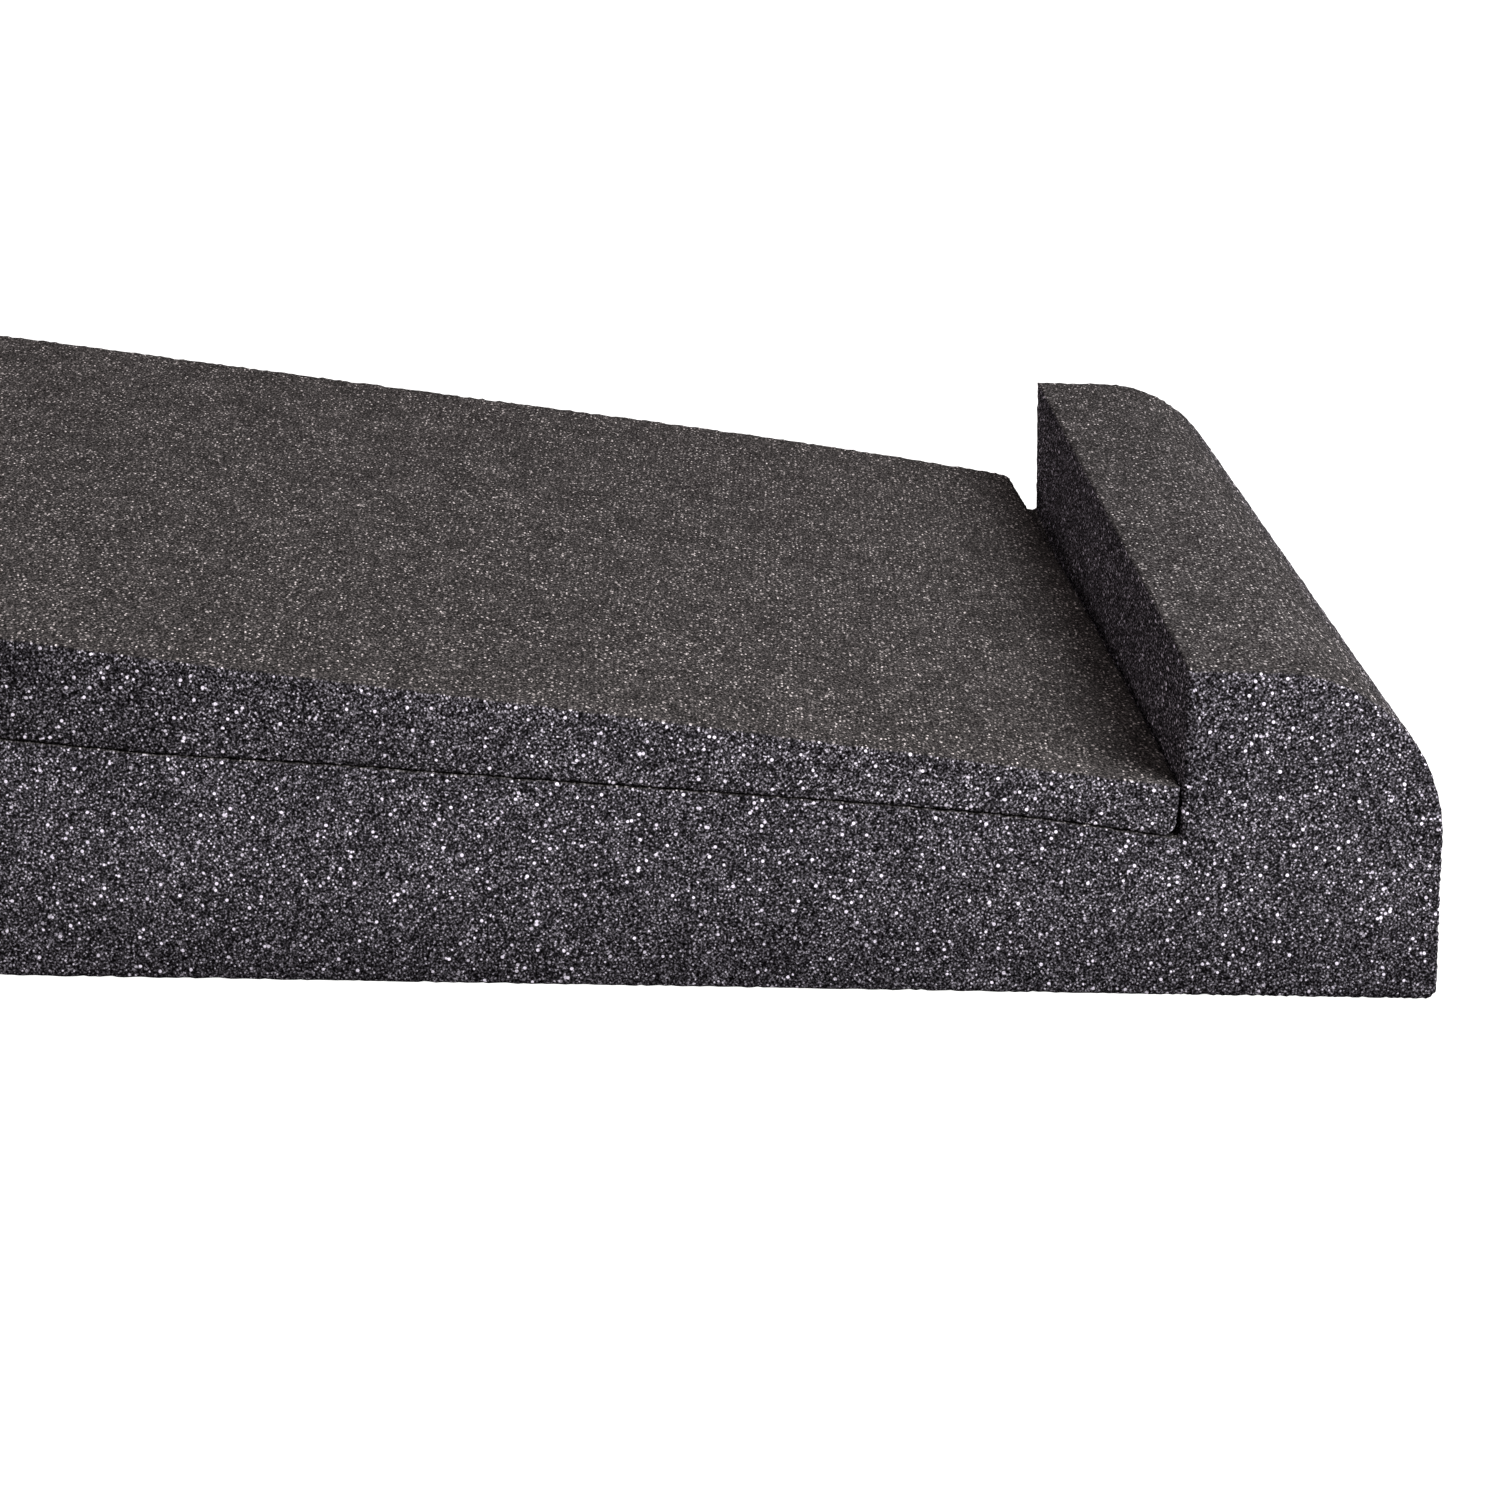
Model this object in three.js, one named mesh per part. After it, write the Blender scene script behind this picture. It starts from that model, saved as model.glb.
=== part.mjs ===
import * as THREE from 'three';

// Speaker isolation pad: a foam base with a raised stop lip, and a loose foam wedge on its sloping floor.
// Millimetres. +X runs toward the stop lip, +Y across the pad, +Z up. The origin is under the middle of the pad.

// Overall plan size and the height of the stop lip.
const LENGTH = 300;
const WIDTH = 200;
const LIP_HEIGHT = 40;

// The stop lip: thickness along X, radius of its front-top edge, radius of the front edge at the bottom.
const LIP_THICKNESS = 31.5;
const LIP_RADIUS = 20.5;
const FOOT_RADIUS = 1;

// The floor of the base: its height where it meets the lip, how steeply it rises toward the rear, and the radius
// that the cutting wire leaves in the inner corner.
const FLOOR_HEIGHT = 20.2;
const FLOOR_ANGLE_DEG = 3.65;
const INNER_RADIUS = 0.6;

// The wedge insert: thickness at the lip, and the angle between its two faces.
const INSERT_THIN_END = 5.2;
const INSERT_TAPER_DEG = 2.8;
const INSERT_CORNER_RADIUS = 1.4;

// Clear space under the insert, and from its thin end to the lip at the -Y side and at the +Y side.
const REST_GAP = 0.3;
const END_GAP_TOP = 0.3;
const END_GAP_BOTTOM = 0.7;
const FAR_GAP_TOP = 4.9;
const FAR_GAP_BOTTOM = 2;
const END_GAP_POWER = 1.6;

const ROUND_STEPS = 16;
const END_STEPS = 14;

const rad = THREE.MathUtils.degToRad;

const rear = -LENGTH / 2;
const front = LENGTH / 2;
const side = WIDTH / 2;

// Each radius is limited by the walls that it rounds, so the lip keeps some flat top and some flat front.
const footRadius = Math.min(FOOT_RADIUS, 0.2 * LIP_HEIGHT);
const lipRadius = Math.min(LIP_RADIUS, 0.9 * LIP_THICKNESS, 0.98 * LIP_HEIGHT - footRadius);
const lipFace = front - LIP_THICKNESS;
const innerRadius = Math.min(INNER_RADIUS, 0.4 * (LIP_HEIGHT - FLOOR_HEIGHT));
const floorSlope = Math.tan(rad(FLOOR_ANGLE_DEG));
const topSlope = Math.tan(rad(FLOOR_ANGLE_DEG + INSERT_TAPER_DEG));
const floorAt = (x) => FLOOR_HEIGHT + floorSlope * (lipFace - x);

// Points of a circular arc in the XZ plane.
function arc(cx, cz, r, from, to, steps) {
  const points = [];
  for (let i = 0; i <= steps; i++) {
    const a = rad(from + ((to - from) * i) / steps);
    points.push([cx + r * Math.cos(a), cz + r * Math.sin(a)]);
  }
  return points;
}

// A closed solid from one XZ outline per station along Y. The outlines run counter-clockwise in X and Z,
// have the same number of points, and are triangulated at both ends from the first one's own shape.
function loft(outlines, stations) {
  const count = outlines[0].length;
  const position = [];
  outlines.forEach((outline, k) => outline.forEach(([x, z]) => position.push(x, stations[k], z)));
  const index = [];
  for (let k = 0; k + 1 < stations.length; k++) {
    for (let i = 0; i < count; i++) {
      const j = (i + 1) % count;
      const a = k * count + i;
      const b = k * count + j;
      const c = a + count;
      const d = b + count;
      index.push(a, d, b, a, c, d);
    }
  }
  const last = (stations.length - 1) * count;
  const flat = (outline) => outline.map(([x, z]) => new THREE.Vector2(x, z));
  for (const [a, b, c] of THREE.ShapeUtils.triangulateShape(flat(outlines[0]), [])) {
    index.push(a, b, c);
  }
  for (const [a, b, c] of THREE.ShapeUtils.triangulateShape(flat(outlines.at(-1)), [])) {
    index.push(last + a, last + c, last + b);
  }
  const indexed = new THREE.BufferGeometry();
  indexed.setAttribute('position', new THREE.Float32BufferAttribute(position, 3));
  indexed.setIndex(index);
  const geometry = indexed.toNonIndexed();
  geometry.computeVertexNormals();
  return geometry;
}

function mesh(name, geometry, color) {
  const made = new THREE.Mesh(geometry, new THREE.MeshStandardMaterial({ color, roughness: 0.95 }));
  made.name = name;
  return made;
}

// Base: slab and stop lip are one block of foam, the same outline all the way across.
// The inner corner's arc touches the upright lip face and the tilted floor at this distance from where they meet.
const innerReach = innerRadius / Math.tan(rad((90 - FLOOR_ANGLE_DEG) / 2));
const baseOutline = [
  [rear, 0],
  ...arc(front - footRadius, footRadius, footRadius, -90, 0, 4),
  ...arc(front - lipRadius, LIP_HEIGHT - lipRadius, lipRadius, 0, 90, ROUND_STEPS),
  [lipFace, LIP_HEIGHT],
  ...arc(lipFace - innerRadius, FLOOR_HEIGHT + innerReach, innerRadius, 0, -90 - FLOOR_ANGLE_DEG, 5),
  [rear, floorAt(rear)],
];
const base = mesh('base', loft([baseOutline, baseOutline], [-side, side]), 0x3f3c40);

// Wedge insert: lies on the floor with its thin end at the lip. Its end is nearly square and close to the lip
// at the -Y side, and leans back more and more toward the +Y side, where it leaves an open notch.
const underAt = (x) => floorAt(x) + REST_GAP;
const overAt = (x) => FLOOR_HEIGHT + REST_GAP + INSERT_THIN_END + topSlope * (lipFace - x);
const corner = Math.min(INSERT_CORNER_RADIUS, 0.4 * INSERT_THIN_END);

function insertOutline(across) {
  const open = Math.pow(across, END_GAP_POWER);
  const topX = lipFace - END_GAP_TOP - (FAR_GAP_TOP - END_GAP_TOP) * open;
  const bottomX = lipFace - END_GAP_BOTTOM - (FAR_GAP_BOTTOM - END_GAP_BOTTOM) * open;
  const low = new THREE.Vector2(bottomX, underAt(bottomX));
  const high = new THREE.Vector2(topX, overAt(topX));
  const back = new THREE.Vector2(-Math.cos(rad(FLOOR_ANGLE_DEG)), Math.sin(rad(FLOOR_ANGLE_DEG)));
  const up = high.clone().sub(low).normalize();
  // The lower corner is rounded with a quadratic curve between a point on the underside and one on the end.
  const start = low.clone().addScaledVector(back, corner);
  const stop = low.clone().addScaledVector(up, corner);
  const curve = new THREE.QuadraticBezierCurve(start, low, stop).getPoints(4);
  return [
    [rear, underAt(rear)],
    ...curve.map((p) => [p.x, p.y]),
    [high.x, high.y],
    [rear, overAt(rear)],
  ];
}

const stations = [];
const outlines = [];
for (let k = 0; k <= END_STEPS; k++) {
  const across = k / END_STEPS;
  stations.push(-side + WIDTH * across);
  outlines.push(insertOutline(across));
}
const insert = mesh('wedge_insert', loft(outlines, stations), 0x45424a);

const pad = new THREE.Group();
pad.name = 'speaker_isolation_pad';
pad.add(base, insert);

export default pad;
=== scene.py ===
"""A loudspeaker pad of charcoal open-cell foam: a base with a raised stop lip at the front, and a loose wedge
that lies on its sloping floor. Metres, +X toward the lip, +Y away from the camera, +Z up."""
import math

import bpy
import numpy as np
from mathutils import Matrix, Vector


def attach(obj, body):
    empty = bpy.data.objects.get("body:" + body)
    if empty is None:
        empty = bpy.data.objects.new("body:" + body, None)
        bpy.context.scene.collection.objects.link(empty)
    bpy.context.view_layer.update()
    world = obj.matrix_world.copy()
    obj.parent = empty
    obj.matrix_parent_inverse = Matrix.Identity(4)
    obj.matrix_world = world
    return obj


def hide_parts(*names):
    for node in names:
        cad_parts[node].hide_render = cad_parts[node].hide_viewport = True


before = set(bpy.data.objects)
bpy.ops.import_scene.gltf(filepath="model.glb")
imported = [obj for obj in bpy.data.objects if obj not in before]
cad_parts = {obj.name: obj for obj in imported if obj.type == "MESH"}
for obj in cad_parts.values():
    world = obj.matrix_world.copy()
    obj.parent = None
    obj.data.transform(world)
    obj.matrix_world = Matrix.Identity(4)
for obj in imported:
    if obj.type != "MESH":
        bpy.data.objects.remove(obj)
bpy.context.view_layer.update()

# The camera looks at the near side from the front half of the pad, a little from above, and close enough to
# leave the rear third of the pad outside the picture. It is turned a little to the right and rolled by
# 1.5 degrees.
YAW, PITCH, ROLL = 0.02927, 0.25706, 0.025614
CAMERA_PLACE = (0.053375, -0.575098, 0.154386)
SENSOR_WIDTH, FOCAL_LENGTH = 36.0, 100.12
ahead = Vector((math.sin(YAW) * math.cos(PITCH), math.cos(YAW) * math.cos(PITCH), -math.sin(PITCH)))
level = Vector((math.cos(YAW), -math.sin(YAW), 0.0))
upright = level.cross(ahead)
right = math.cos(ROLL) * level + math.sin(ROLL) * upright
upward = -math.sin(ROLL) * level + math.cos(ROLL) * upright
lens = bpy.data.cameras.new("camera")
lens.sensor_width = SENSOR_WIDTH
lens.lens = FOCAL_LENGTH
lens.clip_start = 0.02
camera = bpy.data.objects.new("camera", lens)
turn = Matrix((right, upward, -ahead)).transposed().to_4x4()
camera.matrix_world = Matrix.Translation(CAMERA_PLACE) @ turn
bpy.context.collection.objects.link(camera)
bpy.context.scene.camera = camera

# Base: one block of foam, cut across with a hot wire, so its side outline runs the whole width. The slab's
# floor falls toward the front at 3.65 degrees and ends at the upright face of the stop lip, whose front edge
# is round.
REAR, FRONT, HALF_WIDTH = -0.150, 0.150, 0.100
LIP_FACE, LIP_TOP, LIP_ROUND = 0.1187, 0.040, 0.0205
FLOOR_AT_LIP, FLOOR_ANGLE = 0.0202, 3.65
FLOOR_SLOPE = math.tan(math.radians(FLOOR_ANGLE))
FOOT_ROUND, INNER_ROUND = 0.0015, 0.0006
# The lattice's step, how far in from each side it is kept, and the first stations on a rounded side edge.
CELL, FINE_BAND = 0.0007, 0.024
EDGE_PLACES = (0.0, 0.00012, 0.00035)
EDGE_STATIONS = len(EDGE_PLACES) + 1


def spaced(start, stop, step):
    """Points at equal steps on the straight line from start to stop, without the last one."""
    start, stop = np.array(start, float), np.array(stop, float)
    count = max(1, round(float(np.hypot(*(stop - start))) / step))
    return start + (stop - start) * (np.arange(count) / count)[:, None]


def arc(centre, radius, first, last, step):
    """Points at equal steps on a circle about centre: radius times the cosine and sine of the angle, which is
    given in degrees."""
    count = max(2, round(abs(math.radians(last - first)) * radius / step))
    angle = np.radians(np.linspace(first, last, count + 1))
    return np.array(centre) + radius * np.column_stack([np.cos(angle), np.sin(angle)])


def even(run, count):
    """The same run with count points, at equal steps of its length: X and Z are read against the length."""
    length = np.concatenate([[0.0], np.cumsum(np.hypot(*np.diff(run, axis=0).T))])
    at = np.linspace(0.0, length[-1], count)
    return np.column_stack([np.interp(at, length, run[:, 0]), np.interp(at, length, run[:, 1])])


def across_stations():
    """Places across the width, from -1 to 1: close together on the rounded side edges, then a cell apart for
    24 mm in from each side, and about two cells apart between."""
    edge = np.concatenate([EDGE_PLACES, np.arange(CELL, FINE_BAND, CELL)])
    middle = np.arange(FINE_BAND, HALF_WIDTH, 2.1 * CELL)
    one_side = np.concatenate([edge, middle])
    return np.concatenate([one_side - HALF_WIDTH, [0.0], (HALF_WIDTH - one_side)[::-1]]) / HALF_WIDTH


def foam_block(name, low, high, rows, roughness, seed):
    """A closed block whose points lie on a bent lattice. At station s across the width and step i along the
    length, they stand on the straight line from low[s, i] to high[s, i], at equal shares of its height. Only
    the lattice's six outer sides become faces. Each point then leaves its place by a small random step, as
    the open cells of cut foam do. The stations of a rounded side edge take the same step, so it wanders but
    never folds."""
    stations = across_stations()
    count, steps = len(stations), low.shape[1]
    share = np.linspace(0.0, 1.0, rows)[None, None, :, None]
    flat = low[:, :, None, :] * (1.0 - share) + high[:, :, None, :] * share
    place = np.empty((count, steps, rows, 3))
    place[..., 0], place[..., 2] = flat[..., 0], flat[..., 1]
    place[..., 1] = (stations * HALF_WIDTH)[:, None, None]
    number = np.arange(count * steps * rows).reshape(count, steps, rows)
    sides = [
        number[:, :, 0],
        number[:, :, -1].T,
        number[:, 0, :].T,
        number[:, -1, :],
        number[0],
        number[-1].T,
    ]
    quads = np.concatenate(
        [np.stack([g[:-1, :-1], g[1:, :-1], g[1:, 1:], g[:-1, 1:]], -1).reshape(-1, 4) for g in sides]
    )
    used, quads = np.unique(quads, return_inverse=True)
    quads = quads.reshape(-1, 4)
    step = np.clip(np.random.default_rng(seed).normal(0.0, 1.0, place.shape), -1.9, 1.9)
    step[1:EDGE_STATIONS], step[-EDGE_STATIONS:-1] = step[0], step[-1]
    points = (place + step * roughness).reshape(-1, 3)[used]
    mesh = bpy.data.meshes.new(name)
    mesh.vertices.add(len(points))
    mesh.vertices.foreach_set("co", points.astype(np.float32).ravel())
    mesh.loops.add(quads.size)
    mesh.loops.foreach_set("vertex_index", quads.astype(np.int32).ravel())
    mesh.polygons.add(len(quads))
    mesh.polygons.foreach_set("loop_start", np.arange(0, quads.size, 4, dtype=np.int32))
    mesh.polygons.foreach_set("use_smooth", np.ones(len(quads), bool))
    mesh.update(calc_edges=True)
    mesh.validate()
    piece = bpy.data.objects.new(name, mesh)
    bpy.context.collection.objects.link(piece)
    return piece


def across(run):
    """The same run at every station, and the share of the width that each station has behind it."""
    stations = across_stations()
    return np.repeat(run[None], len(stations), 0), ((stations + 1.0) / 2.0)[:, None]


def round_sides(runs, radius, outward):
    """Draws each run in where it nears a side of the block, by radius less the height of a quarter circle,
    square to the run itself, so that the long side edges are rounded. outward is 1 for the upper run and -1
    for the lower, and radius may differ from station to station and from point to point."""
    radius = np.broadcast_to(radius, runs.shape[:2])
    inset = np.clip(radius - ((1.0 - np.abs(across_stations())) * HALF_WIDTH)[:, None], 0.0, radius)
    draw = radius - np.sqrt(radius**2 - inset**2)
    along = np.gradient(runs, axis=1)
    along /= np.maximum(np.hypot(along[..., 0], along[..., 1]), 1e-9)[..., None]
    square = outward * np.stack([-along[..., 1], along[..., 0]], -1)
    return runs - draw[..., None] * square


def cut_wave(x, share, swells, fall):
    """How far a sloping cut misses its flat plane. On the near side it is a sum of smooth swells, each a
    height times the bell curve of its distance from a middle over a width, and they fade out across the pad.
    Toward the far side the cut falls away by FAR_FALL, and beside the lip by up to fall more, which comes in
    over FALL_LENGTH from FALL_START."""
    height, middle, width = np.array(swells).T[:, :, None, None]
    near = (height * np.exp(-(((x[None] - middle) / width) ** 2))).sum(0)
    beside_lip = np.clip((x - FALL_START) / FALL_LENGTH, 0.0, 1.0) ** 2
    return (1.0 - share) * near - share * (FAR_FALL + fall * beside_lip)


# The fall of both sloping cuts at the far side, where along X the further fall beside the lip comes in, the
# floor's further fall, and the swells of the floor under the insert.
FAR_FALL, FALL_START, FALL_LENGTH = 0.00055, 0.055, 0.06
FLOOR_FALL = 0.0007
FLOOR_SWELLS = ((0.00045, 0.083, 0.040), (-0.0004, -0.002, 0.014), (-0.00095, 0.120, 0.012))
reach = INNER_ROUND / math.tan(math.radians((90.0 - FLOOR_ANGLE) / 2.0))
inner = (LIP_FACE - INNER_ROUND, FLOOR_AT_LIP + reach)
rear_floor = FLOOR_AT_LIP + FLOOR_SLOPE * (LIP_FACE - REAR)
lip_arc = arc((FRONT - LIP_ROUND, LIP_TOP - LIP_ROUND), LIP_ROUND, 90.0, 0.0, CELL)
corner_arc = arc(inner, INNER_ROUND, -90.0 - FLOOR_ANGLE, 0.0, INNER_ROUND / 2.0)
floor_run = spaced((REAR, rear_floor), corner_arc[0], CELL)
base_top = np.concatenate(
    [
        floor_run,
        corner_arc,
        spaced(corner_arc[-1], (LIP_FACE, LIP_TOP), CELL)[1:],
        spaced((LIP_FACE, LIP_TOP), lip_arc[0], CELL),
        lip_arc,
    ]
)
foot_arc = arc((FRONT - FOOT_ROUND, FOOT_ROUND), FOOT_ROUND, -90.0, 0.0, FOOT_ROUND / 3.0)
base_under = np.concatenate(
    [
        spaced((REAR, 0.0), (LIP_FACE, 0.0), (LIP_FACE - REAR) / len(floor_run)),
        even(np.concatenate([[(LIP_FACE, 0.0)], foot_arc]), len(base_top) - len(floor_run)),
    ]
)
# The front face stands further forward at its foot than under the round edge, and the last stretch of the
# underside is drawn out with it.
FOOT_FORWARD, STRETCH = 0.0005, 0.02
base_under[:, 0] += FOOT_FORWARD * np.clip((base_under[:, 0] - (FRONT - STRETCH)) / STRETCH, 0.0, 1.0)
under, share = across(base_under)
top, _ = across(base_top)
# Toward the far side the wire cut deeper under the lip at the floor than at the lip's top. The floor beside
# it gives way over a short blend.
LIP_UNDERCUT, BLEND = 0.00065, 0.012
depth = np.clip((LIP_TOP - top[..., 1]) / (LIP_TOP - FLOOR_AT_LIP), 0.0, 1.0)
behind_face = top[..., 0] <= LIP_FACE + 1e-6
near_face = behind_face * np.clip((top[..., 0] - LIP_FACE + BLEND) / BLEND, 0.0, 1.0)
top[..., 0] += LIP_UNDERCUT * share**2 * depth * near_face
# The floor's swells end one point short of the inner corner's upper end.
on_floor = (np.arange(len(base_top)) < len(floor_run) + len(corner_arc) - 1)[None, :]
top[..., 1] += np.where(on_floor, cut_wave(top[..., 0], share, FLOOR_SWELLS, FLOOR_FALL), 0.0)
# The cut edges are broken by 0.3 to 0.4 mm, and by 0.7 mm along the seam at the far side and the rear,
# where the insert and the floor fit less closely.
NEAR_BREAK, SEAM_BREAK, TOP_BREAK = 0.0003, 0.0007, 0.0004
top[:, 0, 1] -= SEAM_BREAK
seam_break = np.where(share > 0.5, SEAM_BREAK, NEAR_BREAK)
top = round_sides(top, np.where(on_floor, seam_break, TOP_BREAK), 1)
under = round_sides(under, NEAR_BREAK, -1)
# The open cells leave the cut faces rough, but no point of the underside reaches below the table.
ROUGHNESS = 0.00006
base = foam_block("base_foam", under, top, rows=44, roughness=ROUGHNESS, seed=11)
points = np.empty(len(base.data.vertices) * 3, np.float32)
base.data.vertices.foreach_get("co", points)
points[2::3] = np.abs(points[2::3])
base.data.vertices.foreach_set("co", points)


def foam(name, side_tint_and_light, top_tint_and_light, axis, darkest_at, full_at, least):
    """Open-cell polyurethane foam with charcoal dye. A three-dimensional cell pattern makes the pale heads of
    the struts on a nearly black ground, each with its own brightness, so that a cut face is a fine dark
    grain. A coarser pattern makes the few skins of closed cells, whose glints are painted as white specks.
    Painted shade darkens the near side along one axis, from full_at to a share of least at darkest_at."""
    material = bpy.data.materials.new(name)
    material.use_nodes = True
    tree = material.node_tree
    shader = tree.nodes["Principled BSDF"]
    add = tree.nodes.new
    link = tree.links.new

    def value(operation, first, second=None, third=None, clamped=False):
        """Arithmetic on sockets and numbers. MULTIPLY_ADD is first times second plus third."""
        node = add("ShaderNodeMath")
        node.operation = operation
        node.use_clamp = clamped
        for socket, given in zip(node.inputs, (first, second, third)):
            if isinstance(given, (int, float)):
                socket.default_value = given
            elif given is not None:
                link(given, socket)
        return node.outputs[0]

    def ramp(source, stops, smooth=False):
        """The shade at source on a line through the stops, each of which is a place and a shade."""
        node = add("ShaderNodeValToRGB")
        link(source, node.inputs[0])
        if smooth:
            node.color_ramp.interpolation = "EASE"
        for _ in range(len(stops) - 2):
            node.color_ramp.elements.new(0.5)
        for element, (at, shade) in zip(node.color_ramp.elements, stops):
            element.position = at
            element.color = (shade, shade, shade, 1.0)
        return node.outputs[0]

    def noise(scale, detail):
        """Smooth noise from 0 to 1, with about scale swings to the metre."""
        node = add("ShaderNodeTexNoise")
        node.inputs["Scale"].default_value = scale
        node.inputs["Detail"].default_value = detail
        link(turned.outputs[0], node.inputs["Vector"])
        return node.outputs["Fac"]

    def cells(size):
        """Cells of this size: the distance from a cell's point, in sizes, and the cell's random numbers."""
        node = add("ShaderNodeTexVoronoi")
        node.inputs["Scale"].default_value = 1.0 / size
        link(turned.outputs[0], node.inputs["Vector"])
        parts = add("ShaderNodeSeparateColor")
        link(node.outputs["Color"], parts.inputs[0])
        return node.outputs["Distance"], parts.outputs

    # The cells are drawn out along the block's width, the way the foam rose.
    turned = add("ShaderNodeMapping")
    turned.inputs["Rotation"].default_value = (0.4, 0.7, 0.3)
    turned.inputs["Scale"].default_value = (1.0, 0.5, 1.0)
    where = add("ShaderNodeTexCoord").outputs["Object"]
    link(where, turned.inputs["Vector"])
    faces = add("ShaderNodeSeparateXYZ")
    link(add("ShaderNodeNewGeometry").outputs["Normal"], faces.inputs[0])
    upward_face = value("ABSOLUTE", faces.outputs["Z"])
    flat_top = ramp(upward_face, [(0.0, 0.0), (0.45, 0.0), (0.9, 1.0), (1.0, 1.0)], smooth=True)

    def by_face(on_side, on_top):
        """A number that is on_side on upright faces and on_top on flat ones: flat_top times the difference,
        plus on_side."""
        return value("MULTIPLY_ADD", flat_top, on_top - on_side, on_side)

    # Fine struts: a close grain from nearly black pores to grey. Its shade is an exponential of the noise,
    # with half the contrast on top.
    fine = noise(scale=3800.0, detail=1.2)
    contrast, middle_shade = by_face(12.8, 6.4), -3.57
    grain = value("EXPONENT", value("MULTIPLY_ADD", value("SUBTRACT", fine, 0.5), contrast, middle_shade))
    # Strut heads: some of the cells show one, each with its own brightness.
    distance, head_chance = cells(size=0.00038)
    head = ramp(distance, [(0.0, 1.0), (0.18, 1.0), (0.46, 0.0), (1.0, 0.0)], smooth=True)
    brightness = ramp(head_chance[0], [(0.0, 0.0), (0.40, 0.0), (0.68, 0.12), (0.90, 0.45), (1.0, 1.0)])
    # Skins: one coarse cell in six has one. Its glint is painted into the colour as a white speck, strong on
    # the upright faces and faint on the flat ones.
    distance, skin_chance = cells(size=0.00072)
    skin = ramp(skin_chance[1], [(0.0, 0.0), (0.84, 0.0), (0.88, 0.50), (1.0, 1.0)])
    spot = ramp(distance, [(0.0, 1.0), (0.24, 1.0), (0.34, 0.0), (1.0, 0.0)], smooth=True)
    painted_skin_glints = value("MULTIPLY", value("MULTIPLY", skin, spot), by_face(1.3, 0.3))
    # Denser and looser places in the foam, some millimetres across.
    drift = value("MULTIPLY_ADD", noise(scale=170.0, detail=2.0), 0.8, 0.6)
    heads = value("MULTIPLY", value("MULTIPLY", head, brightness), by_face(1.0, 0.6))
    # Painted light: the flat faces are painted 1.2 times as bright as the upright ones.
    body = value("MULTIPLY", value("ADD", heads, grain), by_face(1.0, 1.2))
    # Painted shade: the near side darkens along one axis, toward the foot on the base and the rear on the
    # insert.
    fall = add("ShaderNodeMapRange")
    fall.interpolation_type = "SMOOTHSTEP"
    parts = add("ShaderNodeSeparateXYZ")
    link(where, parts.inputs[0])
    link(parts.outputs[axis], fall.inputs["Value"])
    for socket, given in zip(("From Min", "From Max", "To Min"), (darkest_at, full_at, 1.0 - least)):
        fall.inputs[socket].default_value = given
    fall.inputs["To Max"].default_value = 0.0
    painted_shade_side = value("MULTIPLY", faces.outputs["Y"], -1.0, clamped=True)
    shade = value("SUBTRACT", 1.0, value("MULTIPLY", fall.outputs[0], painted_shade_side))
    lit = value("ADD", painted_skin_glints, value("MULTIPLY", body, drift))
    tone = value("MULTIPLY", lit, shade, clamped=True)
    # Painted light colour: the upright faces are tinted cooler and the flat ones warmer.
    tint = add("ShaderNodeMix")
    tint.data_type = "RGBA"
    link(flat_top, tint.inputs["Factor"])
    tint.inputs["A"].default_value = (*side_tint_and_light, 1.0)
    tint.inputs["B"].default_value = (*top_tint_and_light, 1.0)
    colour = add("ShaderNodeMix")
    colour.data_type = "RGBA"
    colour.blend_type = "MULTIPLY"
    colour.inputs["Factor"].default_value = 1.0
    link(tone, colour.inputs["A"])
    link(tint.outputs["Result"], colour.inputs["B"])
    link(colour.outputs["Result"], shader.inputs["Base Color"])
    link(value("MULTIPLY_ADD", painted_skin_glints, -0.4, 0.75), shader.inputs["Roughness"])
    shader.inputs["Specular IOR Level"].default_value = 0.0
    # A low relief of the fine struts alone.
    relief = add("ShaderNodeBump")
    relief.inputs["Strength"].default_value = 0.5
    relief.inputs["Distance"].default_value = 0.0002
    link(fine, relief.inputs["Height"])
    link(relief.outputs["Normal"], shader.inputs["Normal"])
    return material


# The base's near side gets painted shade toward its foot.
base.data.materials.append(
    foam(
        "base_foam",
        side_tint_and_light=(1.02, 0.96, 1.11),
        top_tint_and_light=(1.05, 0.98, 0.98),
        axis="Z",
        darkest_at=0.001,
        full_at=0.014,
        least=0.64,
    )
)
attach(base, "root")
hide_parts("base")

# Wedge insert: a loose wedge of the same foam, 5 mm thick at the lip and 2.8 degrees steeper than the floor
# under it. Its thin end was cut slanting: it meets the lip at the near side and leaves a notch at the far
# side.
REST_GAP, THIN_END, TAPER_ANGLE = 0.00015, 0.00535, 2.8
TOP_SLOPE = math.tan(math.radians(FLOOR_ANGLE + TAPER_ANGLE))
# The end's gap to the lip at the near side, what it opens by at the far side, and how fast it opens across.
TOP_GAP, TOP_OPENING = 0.0003, 0.0040
LOW_GAP, LOW_OPENING = 0.0007, 0.0013
OPENING_POWER = 1.6
opening = share**OPENING_POWER
end_top = LIP_FACE - TOP_GAP - TOP_OPENING * opening
end_low = LIP_FACE - LOW_GAP - LOW_OPENING * opening
STEPS_ALONG = 386
along = np.linspace(0.0, 1.0, STEPS_ALONG)
top_x = REAR + (end_top - REAR) * along
low_x = REAR + (end_low - REAR) * along
wedge_top = np.stack([top_x, FLOOR_AT_LIP + REST_GAP + THIN_END + TOP_SLOPE * (LIP_FACE - top_x)], -1)
wedge_under = np.stack([low_x, FLOOR_AT_LIP + REST_GAP + FLOOR_SLOPE * (LIP_FACE - low_x)], -1)


def corner_bend(x, end, length, drop):
    """The height that a corner is bent by, over the last length before end: drop times one less the height of
    a quarter circle, which stops just before it stands upright."""
    nearly_all = 0.98
    past = nearly_all * np.clip((x - (end - length)) / length, 0.0, 1.0)
    return drop * (1.0 - np.sqrt(1.0 - past**2))


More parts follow.
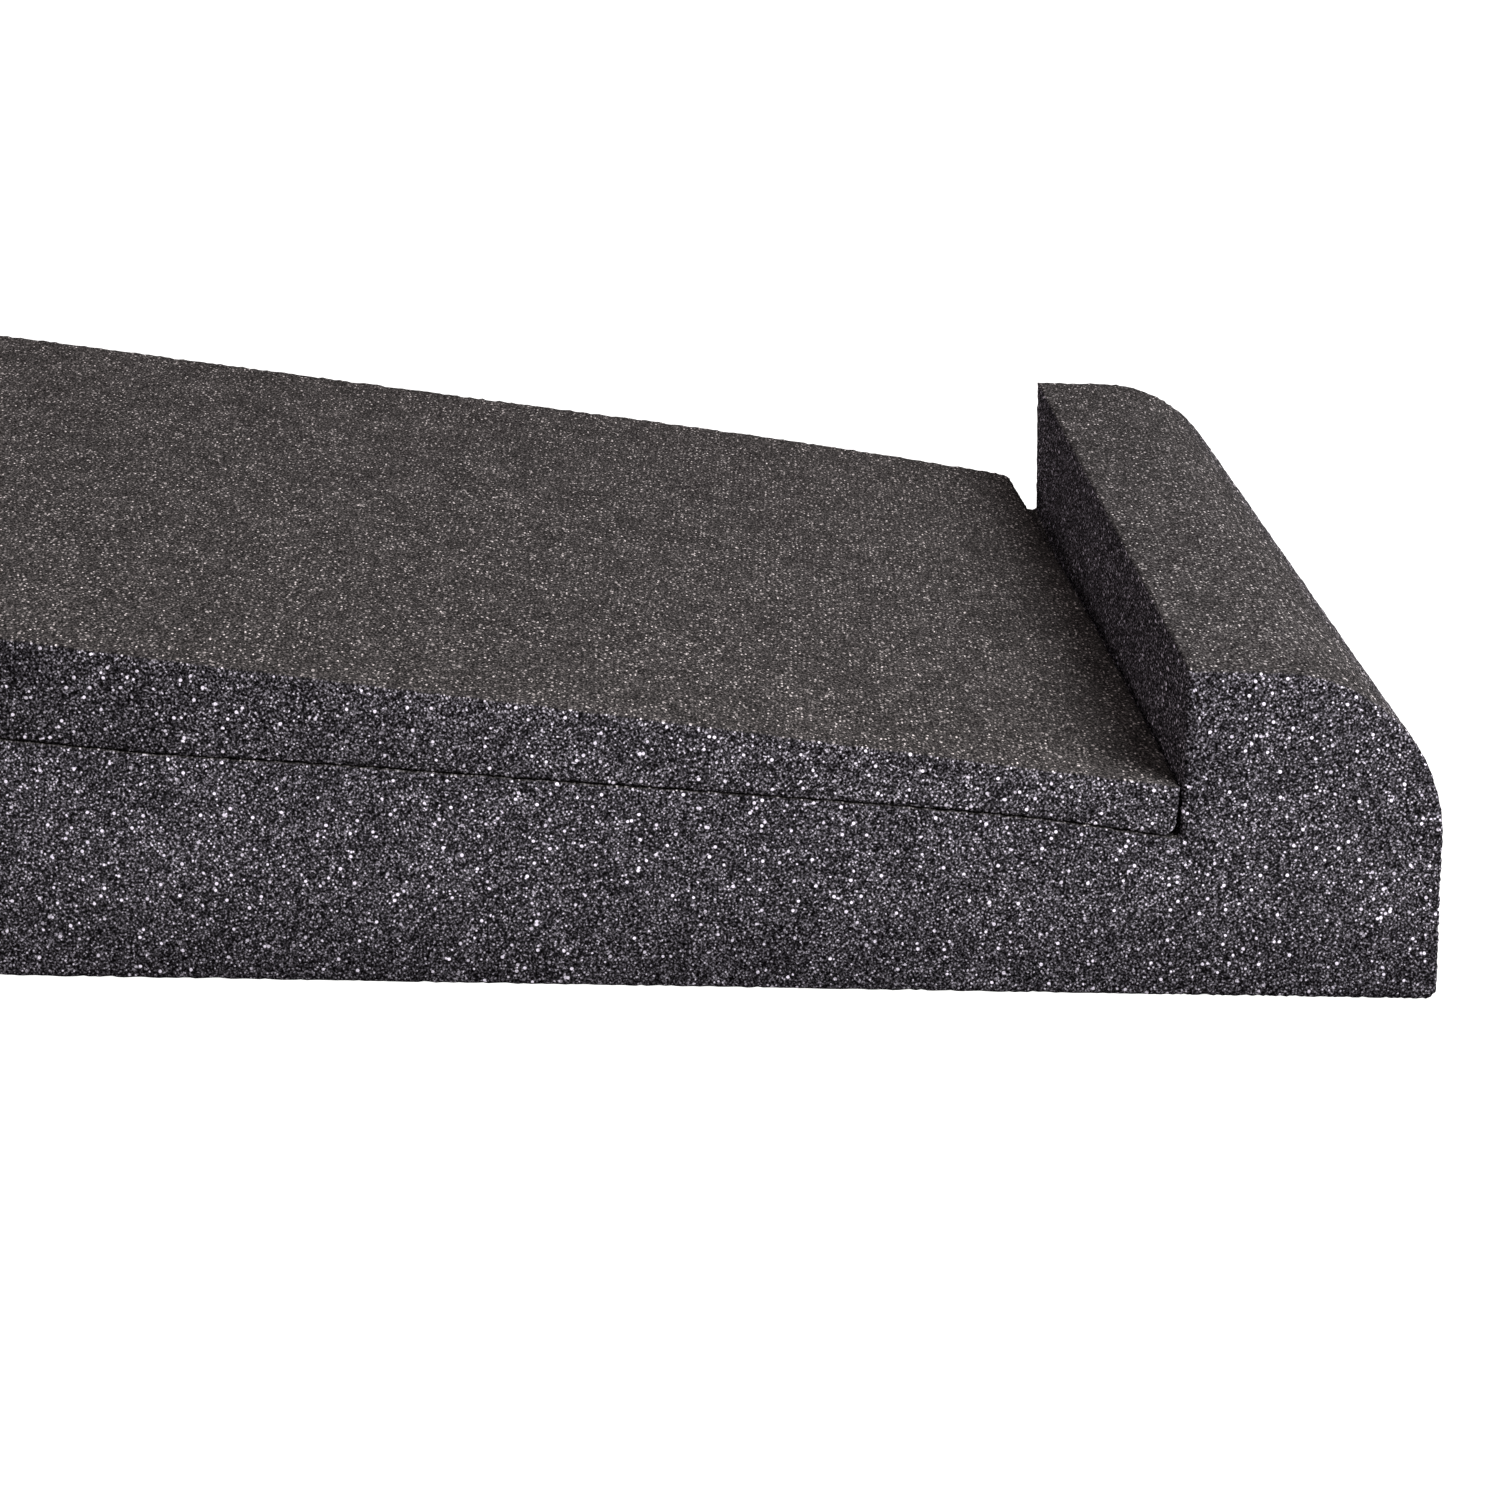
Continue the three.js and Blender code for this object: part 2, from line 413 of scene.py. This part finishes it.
# The thin end's lower corner is rounded, and the upper one hardly at all, as the wire leaves them.
LOW_CORNER, TIP_LENGTH, TIP_DROP = 0.0014, 0.0005, 0.0003
wedge_under[..., 1] += corner_bend(wedge_under[..., 0], end_low, LOW_CORNER, LOW_CORNER)
wedge_top[..., 1] -= corner_bend(wedge_top[..., 0], end_top, TIP_LENGTH, TIP_DROP)
# The underside follows the floor's swells, and the top has its own.
TOP_SWELLS = ((-0.00024, -0.003, 0.030), (0.00009, 0.070, 0.030), (0.00015, 0.120, 0.020))
TOP_FALL = 0.0011
wedge_under[..., 1] += cut_wave(wedge_under[..., 0], share, FLOOR_SWELLS, FLOOR_FALL)
wedge_top[..., 1] += cut_wave(wedge_top[..., 0], share, TOP_SWELLS, TOP_FALL)
wedge_under[:, 0, 1] += SEAM_BREAK
wedge_top[:, 0, 1] -= TOP_BREAK
wedge_under = round_sides(wedge_under, seam_break, -1)
wedge_top = round_sides(wedge_top, TOP_BREAK, 1)
insert = foam_block("wedge_foam", wedge_under, wedge_top, rows=18, roughness=ROUGHNESS, seed=12)
# The insert's near side gets painted shade toward its rear end.
insert.data.materials.append(
    foam(
        "wedge_foam",
        side_tint_and_light=(1.02, 0.96, 1.10),
        top_tint_and_light=(1.05, 0.97, 0.96),
        axis="X",
        darkest_at=-0.070,
        full_at=0.050,
        least=0.42,
    )
)
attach(insert, "root")
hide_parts("wedge_insert")

# Floor: a pale table top that runs out of sight. It takes the pad's soft shadow, and it glows and is paler
# where the camera sees it, so that it shows white there.
TABLE_REACH = 6.0
corners = [(x * TABLE_REACH, y * TABLE_REACH, 0.0) for x, y in ((-1, -1), (1, -1), (1, 1), (-1, 1))]
table = bpy.data.meshes.new("floor")
table.from_pydata(corners, [], [(0, 1, 2, 3)])
floor = bpy.data.objects.new("floor", table)
bpy.context.collection.objects.link(floor)
paint = bpy.data.materials.new("floor")
paint.use_nodes = True
tree = paint.node_tree
surface = tree.nodes["Principled BSDF"]
surface.inputs["Roughness"].default_value = 0.9
surface.inputs["Emission Color"].default_value = (1.0, 1.0, 1.0, 1.0)
path = tree.nodes.new("ShaderNodeLightPath")
for socket, hidden, seen in (("Emission Strength", 0.0, 0.86), ("Base Color", 0.16, 0.42)):
    either = tree.nodes.new("ShaderNodeMapRange")
    tree.links.new(path.outputs["Is Camera Ray"], either.inputs["Value"])
    either.inputs["To Min"].default_value = hidden
    either.inputs["To Max"].default_value = seen
    tree.links.new(either.outputs[0], surface.inputs[socket])
table.materials.append(paint)

# Studio light: one soft lamp high on the right in front of the pad, which leaves the lip's inner face in
# shade, and an even room round it, which shows white to the camera and in reflections.
room = bpy.data.worlds.new("room")
bpy.context.scene.world = room
room.use_nodes = True
tree = room.node_tree
backdrop = tree.nodes["Background"]
path = tree.nodes.new("ShaderNodeLightPath")
shown = path.outputs["Is Camera Ray"]
for ray in ("Is Glossy Ray", "Is Transmission Ray"):
    most = tree.nodes.new("ShaderNodeMath")
    most.operation = "MAXIMUM"
    tree.links.new(shown, most.inputs[0])
    tree.links.new(path.outputs[ray], most.inputs[1])
    shown = most.outputs[0]
either = tree.nodes.new("ShaderNodeMix")
either.data_type = "RGBA"
tree.links.new(shown, either.inputs["Factor"])
either.inputs["A"].default_value = (0.50, 0.45, 0.445, 1.0)
either.inputs["B"].default_value = (1.0, 1.0, 1.0, 1.0)
tree.links.new(either.outputs["Result"], backdrop.inputs["Color"])
LAMP_AIM, LAMP_DISTANCE = Vector((0.05, 0.0, 0.03)), 0.9
lamp = bpy.data.lights.new("soft_lamp", "AREA")
lamp.shape = "DISK"
lamp.size = 0.62
lamp.energy = 12.1
lamp_at = bpy.data.objects.new("soft_lamp", lamp)
direction = Vector((0.64, -0.62, 0.72)).normalized()
lamp_at.location = LAMP_AIM + direction * LAMP_DISTANCE
lamp_at.rotation_euler = direction.to_track_quat("Z", "Y").to_euler()
bpy.context.collection.objects.link(lamp_at)
bpy.context.scene.view_settings.view_transform = "Standard"
